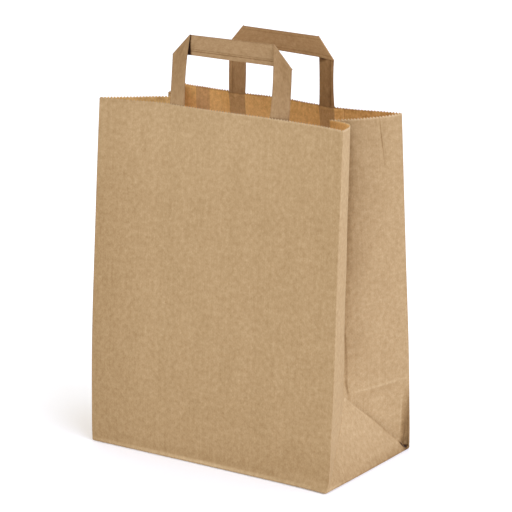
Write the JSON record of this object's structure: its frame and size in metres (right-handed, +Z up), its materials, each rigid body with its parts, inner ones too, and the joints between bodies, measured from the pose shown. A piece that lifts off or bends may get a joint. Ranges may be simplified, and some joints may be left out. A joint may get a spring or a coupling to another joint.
{
  "type": "paper carrier bag",
  "caption": "Open block-bottom brown kraft paper carrier bag with folded sides, a serrated rim and flat folded tape handles glued inside under paper patches.",
  "frame": {"origin": "centre of the bottom face that the bag stands on", "axes": "+X to the right along the front wall, +Y from the front wall to the rear wall, +Z up"},
  "size_m": [0.2604, 0.138, 0.3763],
  "materials": {
    "bag_paper": "matt uncoated brown kraft",
    "handle_tape": "matt folded kraft tape, darker",
    "patch_paper": "matt kraft patch, glued"
  },
  "bodies": {
    "root": {"bag_body": "bag_paper", "front_handle": "handle_tape", "rear_handle": "handle_tape", "front_handle_patch": "patch_paper", "rear_handle_patch": "patch_paper"}
  },
  "joints": []
}
